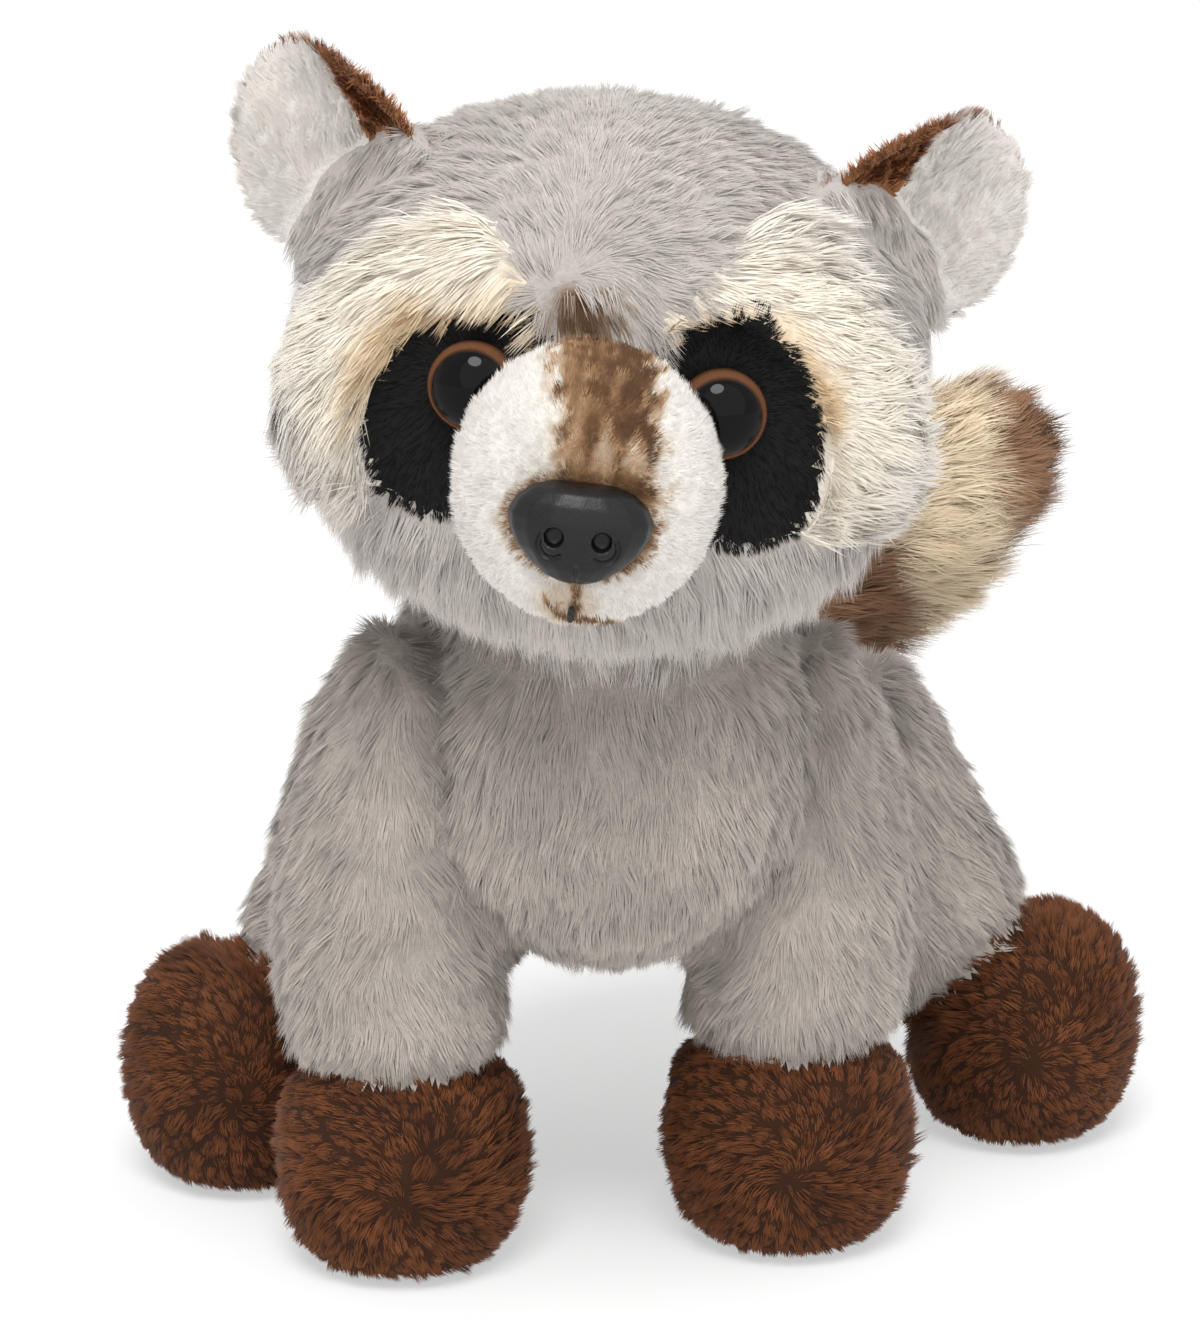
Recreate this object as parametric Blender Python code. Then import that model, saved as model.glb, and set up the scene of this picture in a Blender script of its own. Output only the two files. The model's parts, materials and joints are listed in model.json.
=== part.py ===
"""Plush raccoon that stands on four feet, its head tilted and turned a little to its right.

Metres, +Z up. It faces -Y, and left and right are its own, so its left side is at +X.
"""

from math import asin, cos, pi, radians, sin

import bmesh
import bpy
from mathutils import Matrix, Vector

# Cloth and clearances
GAP = 0.0003  # between neighbouring pieces
FILLING_GAP = 0.0005  # between a filling and its cover
PLUSH = 0.0034  # grey and brown plush, backing and pile
SHORT_PLUSH = 0.0024  # black and white plush
LONG_PLUSH = 0.0062  # cream plush of the tail
MASK_DROP = 0.0010  # the short mask lies this much below the grey pile
BROW_STAND = 0.0030  # the long brow stands this much above it

# Head, in its own frame: x to its left, y to the back, z up
HEAD_WIDTH = 0.089
HEAD_HEIGHT = 0.0745
HEAD_DEPTH = 0.082
HEAD_PLACE = (0.001, -0.010, 0.1302)
HEAD_TILT = 6
HEAD_TURN = -2.5

MUZZLE_WIDTH = 0.0405
MUZZLE_HEIGHT = 0.0430
MUZZLE_REACH = 0.0175  # ahead of the face
MUZZLE_ROOT = 0.026  # behind the face
MUZZLE_DROP = 0.0052  # below the middle of the head

MASK_LENGTH = 0.0310
MASK_WIDTH = 0.0215
MASK_SIDE = 0.0178
MASK_RISE = -0.0007
MASK_SLANT = 25
BROW_LENGTH = 0.046
BROW_WIDTH = 0.028
BROW_SIDE = 0.0250
BROW_RISE = 0.0048
BROW_SLANT = 38
PANEL_BACK = -0.006  # the face panels end here

EAR_WIDTH = 0.0352
EAR_LENGTH = 0.029
EAR_THICKNESS = 0.0075
EAR_ROOT = 0.0090  # part of its length that starts inside the head
EAR_CUP = 0.0030  # how far its outer rim comes forwards
EAR_FOLD = 0.0105  # how far its inner rim comes forwards
EAR_ROUND = 92  # degrees round from the nose
EAR_UP = 36
EAR_LEAN = 36
EAR_FACING = 22

# Eyes, nose and mouth
EYE_DIAMETER = 0.0120
EYE_HEIGHT = 0.0046
EYE_ROUND = 16.4
EYE_UP = 3.5
EYE_SINK = 0.0008
SHANK_DIAMETER = 0.0030
SHANK_LENGTH = 0.0085
WASHER_DIAMETER = 0.0110
WASHER_THICKNESS = 0.0012
WASHER_DROP = 0.0011  # behind the cloth, which curves
NOSE_WIDTH = 0.0190
NOSE_HEIGHT = 0.0128
NOSE_BULGE = 0.0052
NOSE_DROP = 0.0046  # below the middle of the muzzle
NOSE_SINK = 0.0007
NOSTRIL_WIDTH = 0.0026
NOSTRIL_APART = 0.0060
NOSTRIL_DEPTH = 0.0022
SLIT_WIDTH = 0.0007
STITCH_LENGTH = 0.0026
STITCH_WIDTH = 0.0010
STITCH_BELOW = 0.0112  # below the middle of the muzzle

# Trunk
TRUNK_WIDTH = 0.072
TRUNK_HEIGHT = 0.070
TRUNK_FRONT = -0.030
TRUNK_BACK = 0.080
CHEST_RISE = 0.073
RUMP_RISE = 0.060
RUMP_HEIGHT = 0.056
RUMP_WIDTH = 0.065

# Legs: the middle of each foot, a place inside the leg and its top inside the trunk, as x and y
FORE_LEFT = (0.0270, 0.001), (0.0265, 0.004), (0.0155, 0.006)
FORE_RIGHT = (-0.0280, -0.008), (-0.0285, -0.005), (-0.0155, -0.002)
HIND_LEFT = (0.0640, 0.046), (0.0410, 0.049), (0.0230, 0.052)
HIND_RIGHT = (-0.0530, 0.027), (-0.0300, 0.036), (-0.0180, 0.042)
KNEE_RISE = 0.060
SHOULDER_RISE = 0.088
HOCK_RISE = 0.041
HIP_RISE = 0.063
FOOT_HEIGHT = 0.0335
FOREFOOT_WIDTH = 0.0382
FOREFOOT_LENGTH = 0.0405
HINDFOOT_WIDTH = 0.0375
HINDFOOT_LENGTH = 0.0420
ANKLE_RISE = 0.0132  # from the middle of the foot, along the leg
FORELEG_WIDTH = 0.0345
HINDLEG_WIDTH = 0.0290
SHOULDER_WIDTH = 0.0400
THIGH_WIDTH = 0.0560

# Tail
TAIL_WIDTH = 0.037
TAIL_ROOT_WIDTH = 0.024
TAIL_TIP_WIDTH = 0.033
TAIL_ROOT_SIDE = 0.008
TAIL_ROOT_SINK = 0.018  # how far it starts inside the rump
TAIL_ROOT_RISE = 0.064
TAIL_SIDE = 0.0665
TAIL_BACK = 0.091
TAIL_TOP = 0.104

COARSE = 0.75  # linings have this share of the facets round the outside
OVAL_SIDES = 24
DOME_STEPS = 5
DOME_SIDES = 20
CUT_REACH = 0.06
FOOT_OVERHANG = 0.06  # the foot's shape runs on past the floor by this share, which leaves a flat sole


def linear(channel):
    """An 8-bit screen value as linear light."""
    share = channel / 255
    return share / 12.92 if share < 0.04045 else ((share + 0.055) / 1.055) ** 2.4


def material(name, red, green, blue, roughness):
    made = bpy.data.materials.new(name)
    made.use_nodes = True
    shader = made.node_tree.nodes["Principled BSDF"]
    shader.inputs["Base Color"].default_value = (linear(red), linear(green), linear(blue), 1)
    shader.inputs["Roughness"].default_value = roughness
    shader.inputs["Metallic"].default_value = 0
    made.diffuse_color = shader.inputs["Base Color"].default_value
    return made


def between(stations, share):
    """A smooth curve through evenly spaced stations, read at a share of its length."""
    last = len(stations) - 1
    place = min(max(share, 0), 1) * last
    start = min(int(place), last - 1)
    part = place - start
    before, here, there, after = (stations[min(max(start + step, 0), last)] for step in (-1, 0, 1, 2))
    return 0.5 * (
        2 * here
        + (there - before) * part
        + (2 * before - 5 * here + 4 * there - after) * part**2
        + (3 * here - before - 3 * there + after) * part**3
    )


class Form:
    """A rounded body round a spine. Its cover, lining and filling are all offset from it.

    Each station of the spine is x, y, z, half width and half depth. On the unit sphere that
    the body is shaped from, u goes across, v goes deep and w runs along the spine.
    """

    def __init__(self, stations, parent, depth=(0, 0, 1), full=2.0, square=2.0, detail=16, floor=None):
        self.stations = [Vector(station) for station in stations]
        self.parent = parent
        self.depth = Vector(depth)
        self.full = full
        self.square = square
        self.detail = detail
        self.floor = floor
        self.cup = self.fold = self.fold_side = self.half = 0

    def frame(self, share):
        """Middle, direction, width axis and depth axis of the spine, with both half sizes."""
        step = 0.01
        here = between(self.stations, share)
        change = between(self.stations, share + step) - between(self.stations, share - step)
        along = Vector(change[:3]).normalized()
        deep = (self.depth - self.depth.dot(along) * along).normalized()
        return Vector(here[:3]), along, along.cross(deep), deep, here[3], here[4]

    def point(self, u, v, w, grow=0.0):
        middle, along, wide, deep, half_wide, half_deep = self.frame((w + 1) / 2)
        round_off = max(1 - abs(w) ** self.full, 0) ** (1 / self.full)
        ring = (u * u + v * v) ** 0.5
        if ring > 1e-6:
            corner = (abs(u / ring) ** self.square + abs(v / ring) ** self.square) ** (1 / self.square)
            u, v = u / ring / corner, v / ring / corner
        if self.half:
            v = max(v * self.half, 0) * self.half
        place = middle + along * (grow * w)
        place += wide * (u * round_off * (half_wide + grow))
        place += deep * (v * round_off * (half_deep + grow) + self.half * GAP / 2)
        place -= deep * ((self.fold if u * self.fold_side > 0 else self.cup) * (u * round_off) ** 2)
        if self.floor is not None:
            place.z = max(place.z, self.floor - grow)
        return place

    def surface(self, grow=0.0, coarse=False):
        sides = round(self.detail * (COARSE if coarse else 1)) // 2 * 2
        bm = bmesh.new()
        bmesh.ops.create_uvsphere(bm, u_segments=sides, v_segments=max(sides * 5 // 8, 6), radius=1)
        for vert in bm.verts:
            vert.co = self.point(*vert.co, grow)
        face_out(bm)
        return bm

    def solid(self, name, grow=0.0, coarse=False):
        return placed(name, self.surface(grow, coarse), self.parent)

    def cover(self, name, thickness):
        """A cloth cover: the outside of the form, and its hollow with the faces turned in."""
        bm, hollow = self.surface(), self.surface(-thickness, coarse=True)
        bmesh.ops.reverse_faces(hollow, faces=hollow.faces)
        lining = bpy.data.meshes.new(name + "_hollow")
        hollow.to_mesh(lining)
        hollow.free()
        bm.from_mesh(lining)
        bpy.data.meshes.remove(lining)
        return placed(name, bm, self.parent)


def face_out(bm):
    bm.normal_update()
    bmesh.ops.recalc_face_normals(bm, faces=bm.faces)
    if bm.calc_volume(signed=True) < 0:
        bmesh.ops.reverse_faces(bm, faces=bm.faces)


def placed(name, bm, parent):
    mesh = bpy.data.meshes.new(name)
    bm.to_mesh(mesh)
    bm.free()
    mesh.shade_smooth()
    piece = bpy.data.objects.new(name, mesh)
    piece.parent = parent
    bpy.context.scene.collection.objects.link(piece)
    return piece


def hidden(piece):
    """Keeps a piece as a cutter only."""
    piece.hide_render = True
    piece.display_type = "WIRE"
    return piece


def combine(piece, other, operation):
    step = piece.modifiers.new(operation.title(), "BOOLEAN")
    step.operation = operation
    step.solver = "EXACT"
    step.object = hidden(other)
    return piece


def less(piece, *cutters):
    for cutter in cutters:
        combine(piece, cutter, "DIFFERENCE")
    return piece


def only(piece, region):
    return combine(piece, region, "INTERSECT")


def plus(piece, *others):
    for other in others:
        combine(piece, other, "UNION")
    return piece


def finished(piece, look):
    piece.data.materials.append(look)
    return piece


def oval_prism(name, parent, oval, grow=0.0):
    """An upright oval in the face, pushed through it from front to back."""
    length, width, side, rise, slant = oval
    front, back = -HEAD_DEPTH / 2 - 2 * BROW_STAND, PANEL_BACK + grow
    turn = Matrix.Rotation(radians(-slant), 3, "Y")
    bm = bmesh.new()
    ring = []
    for index in range(OVAL_SIDES):
        angle = 2 * pi * index / OVAL_SIDES
        spot = Vector((cos(angle) * (width / 2 + grow), 0, sin(angle) * (length / 2 + grow)))
        ring.append(bm.verts.new(turn @ spot + Vector((side, front, rise))))
    face = bm.faces.new(ring)
    pushed = bmesh.ops.extrude_face_region(bm, geom=[face])
    moved = [item for item in pushed["geom"] if isinstance(item, bmesh.types.BMVert)]
    bmesh.ops.translate(bm, verts=moved, vec=(0, back - front, 0))
    face_out(bm)
    return placed(name, bm, parent)


def turned_to(axis, place):
    turn = Vector((0, 0, 1)).rotation_difference(axis).to_matrix().to_4x4()
    return Matrix.Translation(place) @ turn


def rod(name, parent, diameter, place, axis, start, end, sides=12):
    """A round rod along an axis through a place."""
    bm = bmesh.new()
    radii = {"radius1": diameter / 2, "radius2": diameter / 2}
    bmesh.ops.create_cone(bm, cap_ends=True, segments=sides, depth=end - start, **radii)
    bm.transform(turned_to(axis, place + axis * (start + end) / 2))
    return placed(name, bm, parent)


def dome(name, parent, diameter, height, place, axis):
    """A flat-backed dome, turned round its axis."""
    bm = bmesh.new()
    profile = [bm.verts.new((0, 0, height))]
    for index in range(1, DOME_STEPS + 1):
        angle = pi / 2 * index / DOME_STEPS
        profile.append(bm.verts.new((sin(angle) * diameter / 2, 0, cos(angle) * height)))
    profile.append(bm.verts.new((0, 0, 0)))
    edges = [bm.edges.new(pair) for pair in zip(profile[:-1], profile[1:])]
    turned = {"cent": (0, 0, 0), "axis": (0, 0, 1), "angle": 2 * pi, "steps": DOME_SIDES}
    bmesh.ops.spin(bm, geom=profile + edges, **turned)
    bmesh.ops.remove_doubles(bm, verts=bm.verts, dist=1e-6)
    face_out(bm)
    bm.transform(turned_to(axis, place))
    return placed(name, bm, parent)


def beyond(name, parent, place, axis):
    """A block that fills everything past a plane."""
    bm = bmesh.new()
    bmesh.ops.create_cube(bm, size=CUT_REACH)
    bm.transform(turned_to(axis, place + axis * CUT_REACH / 2))
    return placed(name, bm, parent)


def outward(form, u, v, w):
    """A spot on a form and the direction straight out of it."""
    step = 0.02
    spot = form.point(u, v, w)
    beside = []
    for shift in ((step, 0, 0), (0, step, 0), (0, 0, step)):
        near = (Vector((u, v, w)) + Vector(shift)).normalized()
        beside.append(form.point(*near) - spot)
    crossed = [a.cross(b) for a, b in zip(beside, beside[1:] + beside[:1])]
    normal = max(crossed, key=lambda vector: vector.length).normalized()
    middle = form.frame((w + 1) / 2)[0]
    return spot, normal if normal.dot(spot - middle) > 0 else -normal


def on_head(head, side, round_from_nose, up):
    """The spot at two angles from the middle of the head, and the way out of it."""
    turn, rise = radians(round_from_nose), radians(up)
    return outward(head, side * sin(turn) * cos(rise), sin(rise), -cos(turn) * cos(rise))


def head_form(head_pose):
    half_wide, half_high = HEAD_WIDTH / 2, HEAD_HEIGHT / 2
    ends = -HEAD_DEPTH / 2, 0, HEAD_DEPTH / 2
    stations = [(0, y, 0, half_wide, half_high) for y in ends]
    return Form(stations, head_pose, full=2.35, square=2.15, detail=24)


def muzzle_form(head_pose):
    face = -HEAD_DEPTH / 2
    ends = face + MUZZLE_ROOT, face - MUZZLE_REACH
    shape = (0.255, 0.255, 0.26, 0.295, 0.55, 0.68)
    stations = []
    for index, share in enumerate(shape):
        y = ends[0] + (ends[1] - ends[0]) * index / (len(shape) - 1)
        stations.append((0, y, -MUZZLE_DROP, MUZZLE_WIDTH * share, MUZZLE_HEIGHT * share))
    return Form(stations, head_pose, full=2.2, detail=18)


def trunk_form(toy):
    half_wide, half_high = TRUNK_WIDTH / 2, TRUNK_HEIGHT / 2
    side, third = HEAD_PLACE[0], (TRUNK_BACK - TRUNK_FRONT) / 3
    slope = (CHEST_RISE + 2 * RUMP_RISE) / 3
    stations = [
        (side, TRUNK_FRONT, CHEST_RISE, half_wide, half_high),
        (side, TRUNK_FRONT + third, CHEST_RISE, half_wide, half_high),
        (side, TRUNK_BACK - third, slope, half_wide, (RUMP_HEIGHT / 2 + half_high) / 2),
        (side, TRUNK_BACK, RUMP_RISE, RUMP_WIDTH / 2, RUMP_HEIGHT / 2),
    ]
    return Form(stations, toy, full=2.5, detail=20)


def ear_form(head, side, half):
    """Half of an ear's thickness, cupped forwards: -1 is its front cloth and 1 its back cloth."""
    spot, _ = on_head(head, side, EAR_ROUND, EAR_UP)
    lean, facing = radians(EAR_LEAN), radians(EAR_FACING)
    up = Vector((side * sin(lean), 0, cos(lean)))
    back = Matrix.Rotation(side * facing, 3, up) @ Vector((0, 1, 0))
    shape = (0.52, 0.5, 0.42, 0.28)
    last = len(shape) - 1
    stations = []
    for index, share in enumerate(shape):
        middle = spot + up * (EAR_LENGTH * index / last - EAR_ROOT)
        stations.append((*middle, EAR_WIDTH * share, EAR_THICKNESS / 2))
    form = Form(stations, head.parent, depth=back, full=3.0, detail=14)
    form.half, form.cup, form.fold, form.fold_side = half, EAR_CUP, EAR_FOLD, side
    return form


def build_head(looks, head_pose, trunk):
    head, muzzle = head_form(head_pose), muzzle_form(head_pose)
    lining = head.solid("head_lining", -PLUSH, coarse=True)
    muzzle_room = muzzle.solid("muzzle_room", GAP)
    cover = head.cover("head_cover", PLUSH)
    filling = head.solid("head_filling", -PLUSH - FILLING_GAP, coarse=True)
    muzzle_cover = muzzle.cover("muzzle_cover", SHORT_PLUSH)
    plus(filling, muzzle.solid("muzzle_stuffing", -SHORT_PLUSH - FILLING_GAP, coarse=True))
    build_nose(muzzle, looks, muzzle_cover, filling)
    less(muzzle_cover, lining)

    for side, label in ((1, "left"), (-1, "right")):
        mask_oval = MASK_LENGTH, MASK_WIDTH, side * MASK_SIDE, MASK_RISE, side * MASK_SLANT
        brow_oval = BROW_LENGTH, BROW_WIDTH, side * BROW_SIDE, BROW_RISE, side * BROW_SLANT
        mask_room = oval_prism("mask_room_" + label, head_pose, mask_oval, GAP)
        brow_room = oval_prism("brow_room_" + label, head_pose, brow_oval, GAP)
        mask = head.solid("mask_" + label, -MASK_DROP)
        only(mask, oval_prism("mask_region_" + label, head_pose, mask_oval))
        less(mask, lining, muzzle_room)
        brow = head.solid("brow_" + label, BROW_STAND)
        only(brow, oval_prism("brow_region_" + label, head_pose, brow_oval))
        less(brow, lining, mask_room)
        less(cover, brow_room, mask_room)
        build_eye(head, side, label, looks, mask, filling)
        finished(mask, looks["black_plush"])
        finished(brow, looks["cream_plush"])
        for half, place, look in ((-1, "front", "pale_plush"), (1, "back", "brown_plush")):
            ear = ear_form(head, side, half).solid(f"ear_{place}_{label}")
            less(ear, head.solid(f"ear_seat_{place}_{label}", GAP))
            finished(ear, looks[look])

    less(cover, muzzle_room, trunk.solid("neck_opening", -PLUSH, coarse=True))
    finished(cover, looks["grey_plush"])
    finished(muzzle_cover, looks["white_plush"])
    finished(filling, looks["fibre"])
    return head


def build_eye(head, side, label, looks, mask, filling):
    spot, axis = on_head(head, side, EYE_ROUND, EYE_UP)
    parent = head.parent
    back = -MASK_DROP - EYE_SINK
    end = back - SHANK_LENGTH
    eye = dome("eye_" + label, parent, EYE_DIAMETER, EYE_HEIGHT, spot + axis * back, axis)
    plus(eye, rod("eye_shank_" + label, parent, SHANK_DIAMETER, spot, axis, end, back + EYE_SINK))
    seat_width, hole_width = EYE_DIAMETER + 2 * GAP, SHANK_DIAMETER + 2 * GAP
    seat = rod("eye_seat_" + label, parent, seat_width, spot, axis, back - GAP, EYE_HEIGHT, 20)
    hole = rod("eye_hole_" + label, parent, hole_width, spot, axis, end - GAP, 0)
    less(mask, seat, hole)
    less(build_washer("eye_washer_" + label, parent, spot, axis, -PLUSH, looks, filling), hole)
    less(filling, hole)
    finished(eye, looks["eye_plastic"])


def build_washer(name, parent, spot, axis, cloth, looks, filling):
    """A lock washer behind the cloth, in a pocket of the filling."""
    top = cloth - WASHER_DROP
    bottom = top - WASHER_THICKNESS
    piece = rod(name, parent, WASHER_DIAMETER, spot, axis, bottom, top, 16)
    pocket = WASHER_DIAMETER + 2 * GAP
    less(filling, rod(name + "_pocket", parent, pocket, spot, axis, bottom - GAP, 0, 16))
    return finished(piece, looks["washer_plastic"])


def nose_form(tip, parent):
    """A rounded triangle, widest above its middle."""
    shape = (0.46, 0.5, 0.42, 0.26)
    last = len(shape) - 1
    stations = []
    for index, share in enumerate(shape):
        high = tip.z + NOSE_HEIGHT * (0.5 - index / last)
        stations.append((tip.x, tip.y, high, NOSE_WIDTH * share, NOSE_BULGE))
    return Form(stations, parent, depth=(0, -1, 0), full=2.6, detail=16)


def build_nose(muzzle, looks, muzzle_cover, filling):
    """The nose, let into the pile, its lock washer and the stitch under it."""
    parent = muzzle.parent
    axis, up = Vector((0, -1, 0)), Vector((0, 0, 1))
    spot = Vector(muzzle.stations[-1][:3]) - up * NOSE_DROP
    form = nose_form(spot, parent)
    nose = less(form.solid("nose"), muzzle.solid("nose_bed", -NOSE_SINK))
    room = less(form.solid("nose_room", GAP), muzzle.solid("nose_bed_room", -NOSE_SINK - GAP))
    plus(nose, rod("nose_shank", parent, SHANK_DIAMETER, spot, axis, -SHANK_LENGTH, NOSE_BULGE / 2))
    front = spot + axis * NOSE_BULGE
    less(nose, rod("nose_slit", parent, SLIT_WIDTH, front, up, -NOSE_HEIGHT / 2, 0, 8))
    for side, label in ((1, "left"), (-1, "right")):
        place = spot + Vector((side * NOSTRIL_APART / 2, 0, 0))
        start = NOSE_BULGE - NOSTRIL_DEPTH
        less(nose, rod("nostril_" + label, parent, NOSTRIL_WIDTH, place, axis, start, 2 * NOSE_BULGE, 10))
    hole_width = SHANK_DIAMETER + 2 * GAP
    hole = rod("nose_hole", parent, hole_width, spot, axis, -SHANK_LENGTH - GAP, NOSE_BULGE / 3)
    less(muzzle_cover, room, hole)
    less(build_washer("nose_washer", parent, spot, axis, -SHORT_PLUSH, looks, filling), hole)
    less(filling, hole)
    finished(nose, looks["nose_plastic"])

    drop = asin(STITCH_BELOW / (MUZZLE_HEIGHT / 2))
    place, out = outward(muzzle, 0, -sin(drop), cos(drop))
    along = out.cross(Vector((1, 0, 0)))
    half = STITCH_WIDTH / 2
    ends = -STITCH_LENGTH / 2, 0, STITCH_LENGTH / 2
    stations = [(*(place + along * step), half, half) for step in ends]
    thread = Form(stations, parent, depth=out, full=2.6, detail=10)
    finished(thread.solid("mouth_stitch"), looks["black_thread"])
    less(muzzle_cover, thread.solid("stitch_groove", GAP))


class Leg:
    """A leg sleeve from the trunk to its ankle, and the ball foot under it."""

    def __init__(self, name, toy, places, fore):
        self.name = name
        self.kind, self.foot_kind = ("foreleg", "forefoot") if fore else ("hindleg", "hindfoot")
        fore_size, hind_size = (FOREFOOT_WIDTH, FOREFOOT_LENGTH), (HINDFOOT_WIDTH, HINDFOOT_LENGTH)
        foot_width, foot_length = fore_size if fore else hind_size
        rises = (KNEE_RISE, SHOULDER_RISE) if fore else (HOCK_RISE, HIP_RISE)
        width, top_width = (FORELEG_WIDTH, SHOULDER_WIDTH) if fore else (HINDLEG_WIDTH, THIGH_WIDTH)
        foot_place, knee_place, top_place = places
        foot_middle = Vector((*foot_place, FOOT_HEIGHT / 2))
        knee = Vector((*knee_place, rises[0]))
        top = Vector((*top_place, rises[1]))
        self.axis = (foot_middle - knee).normalized()
        self.ankle = foot_middle - self.axis * ANKLE_RISE
        sole = self.ankle + self.axis * width / 3
        stations = [
            (*top, top_width / 2, top_width / 2),
            (*knee, (top_width + width) / 4, (top_width + width) / 4),
            (*sole, width / 2, width / 2),
        ]
        self.leg = Form(stations, toy, depth=(0, -1, 0), full=3.6, detail=14)
        half = foot_width / 2, foot_length / 2
        past = FOOT_HEIGHT * FOOT_OVERHANG
        heights = -past, FOOT_HEIGHT / 2, FOOT_HEIGHT + past
        stations = [(*foot_place, height, *half) for height in heights]
        self.foot = Form(stations, toy, depth=(0, -1, 0), full=2.5, detail=16, floor=0)

    def build(self, looks, trunk, trunk_cover, filling):
        toy = self.leg.parent
        sleeve = self.leg.cover(f"{self.kind}_cover_{self.name}", PLUSH)
        past = self.ankle - self.axis * GAP / 2
        less(sleeve, trunk.solid(f"{self.kind}_seat_{self.name}", GAP))
        less(sleeve, beyond(f"past_{self.kind}_{self.name}", toy, past, self.axis))
        foot = self.foot.cover(f"{self.foot_kind}_cover_{self.name}", PLUSH)
        before = self.ankle + self.axis * GAP / 2
        above = beyond(f"above_{self.foot_kind}_{self.name}", toy, before, -self.axis)
        less(foot, above)
        opening = self.leg.solid(f"{self.kind}_opening_{self.name}", -PLUSH, coarse=True)
        less(foot, opening)
        less(trunk_cover, opening)
        inside = -PLUSH - FILLING_GAP
        foot_stuffing = self.foot.solid(f"{self.foot_kind}_stuffing_{self.name}", inside, coarse=True)
        less(foot_stuffing, above)
        plus(filling, self.leg.solid(f"{self.kind}_stuffing_{self.name}", inside, coarse=True), foot_stuffing)
        finished(sleeve, looks["grey_plush"])
        finished(foot, looks["brown_plush"])


def tail_form(toy):
    root = Vector((TAIL_ROOT_SIDE, TRUNK_BACK - TAIL_ROOT_SINK, TAIL_ROOT_RISE))
    tip = Vector((TAIL_SIDE, TAIL_BACK, TAIL_TOP))
    bend = Vector((root.x * 2 + tip.x, TAIL_BACK * 3, root.z * 2.5 + tip.z * 0.5)) / 3
    belly = Vector((root.x + tip.x * 2, TAIL_BACK * 3, (root.z + tip.z) * 1.5)) / 3
    half, root_half, tip_half = TAIL_WIDTH / 2, TAIL_ROOT_WIDTH / 2, TAIL_TIP_WIDTH / 2
    stations = [
        (*root, root_half, root_half),
        (*bend, tip_half, tip_half),
        (*belly, half, half),
        (*tip, tip_half, tip_half),
    ]
    return Form(stations, toy, depth=(0, 0, 1), full=2.8, detail=14)


def build_trunk_and_tail(looks, toy, trunk, head):
    cover = trunk.cover("body_cover", PLUSH)
    filling = trunk.solid("body_filling", -PLUSH - FILLING_GAP, coarse=True)
    legs = [
        Leg("left", toy, FORE_LEFT, True),
        Leg("right", toy, FORE_RIGHT, True),
        Leg("left", toy, HIND_LEFT, False),
        Leg("right", toy, HIND_RIGHT, False),
    ]
    for leg in legs:
        leg.build(looks, trunk, cover, filling)
    less(cover, head.solid("head_room", GAP))
    less(filling, head.solid("head_inside", -PLUSH, coarse=True))

    tail = tail_form(toy)
    seat = trunk.solid("tail_seat", GAP)
    tail_cover = less(tail.cover("tail_cover", LONG_PLUSH), seat)
    tail_filling = less(tail.solid("tail_filling", -LONG_PLUSH - FILLING_GAP, coarse=True), seat)
    finished(cover, looks["grey_plush"])
    finished(filling, looks["fibre"])
    finished(tail_cover, looks["cream_plush"])
    finished(tail_filling, looks["fibre"])


def stand_on_origin(toy):
    """Brings the middle of the toy's box to x and y 0. Its soles are at z 0 already."""
    graph = bpy.context.evaluated_depsgraph_get()
    spots = []
    for piece in bpy.data.objects:
        if piece.type == "MESH" and not piece.hide_render:
            shown = piece.evaluated_get(graph)
            spots += [shown.matrix_world @ vert.co for vert in shown.data.vertices]
    for axis in (0, 1):
        along = [spot[axis] for spot in spots]
        toy.location[axis] = -(min(along) + max(along)) / 2


def clear_scene():
    for item in list(bpy.data.objects):
        bpy.data.objects.remove(item, do_unlink=True)


def empty(name, parent=None):
    made = bpy.data.objects.new(name, None)
    bpy.context.scene.collection.objects.link(made)
    made.parent = parent
    return made


def build():
    clear_scene()
    looks = {
        "grey_plush": material("grey_plush", 186, 180, 176, 0.9),
        "brown_plush": material("brown_plush", 104, 62, 38, 0.9),
        "pale_plush": material("pale_plush", 226, 225, 226, 0.9),
        "black_plush": material("black_plush", 27, 27, 30, 0.9),
        "white_plush": material("white_plush", 238, 236, 232, 0.9),
        "cream_plush": material("cream_plush", 234, 222, 194, 0.9),
        "eye_plastic": material("eye_plastic", 34, 24, 20, 0.05),
        "nose_plastic": material("nose_plastic", 36, 37, 41, 0.3),
        "washer_plastic": material("washer_plastic", 228, 228, 224, 0.5),
        "black_thread": material("black_thread", 24, 22, 22, 0.8),
        "fibre": material("fibre", 242, 242, 240, 0.95),
    }
    toy = empty("toy")
    head_pose = empty("head_pose", toy)
    head_pose.location = HEAD_PLACE
    head_pose.rotation_euler = (0, radians(HEAD_TILT), radians(HEAD_TURN))
    trunk = trunk_form(toy)
    head = build_head(looks, head_pose, trunk)
    build_trunk_and_tail(looks, toy, trunk, head)
    stand_on_origin(toy)


build()
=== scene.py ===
"""Looks of the plush raccoon: combed pile on every cloth piece, glossy eyes, a satin nose.

Metres, +Z up. It faces -Y, and left and right are its own.
"""

import json
from math import cos, pi, radians, sin
from typing import Callable, NamedTuple

import bmesh
import bpy
import numpy as np
from mathutils import Matrix, Vector
from mathutils.bvhtree import BVHTree
from mathutils.kdtree import KDTree

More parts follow.
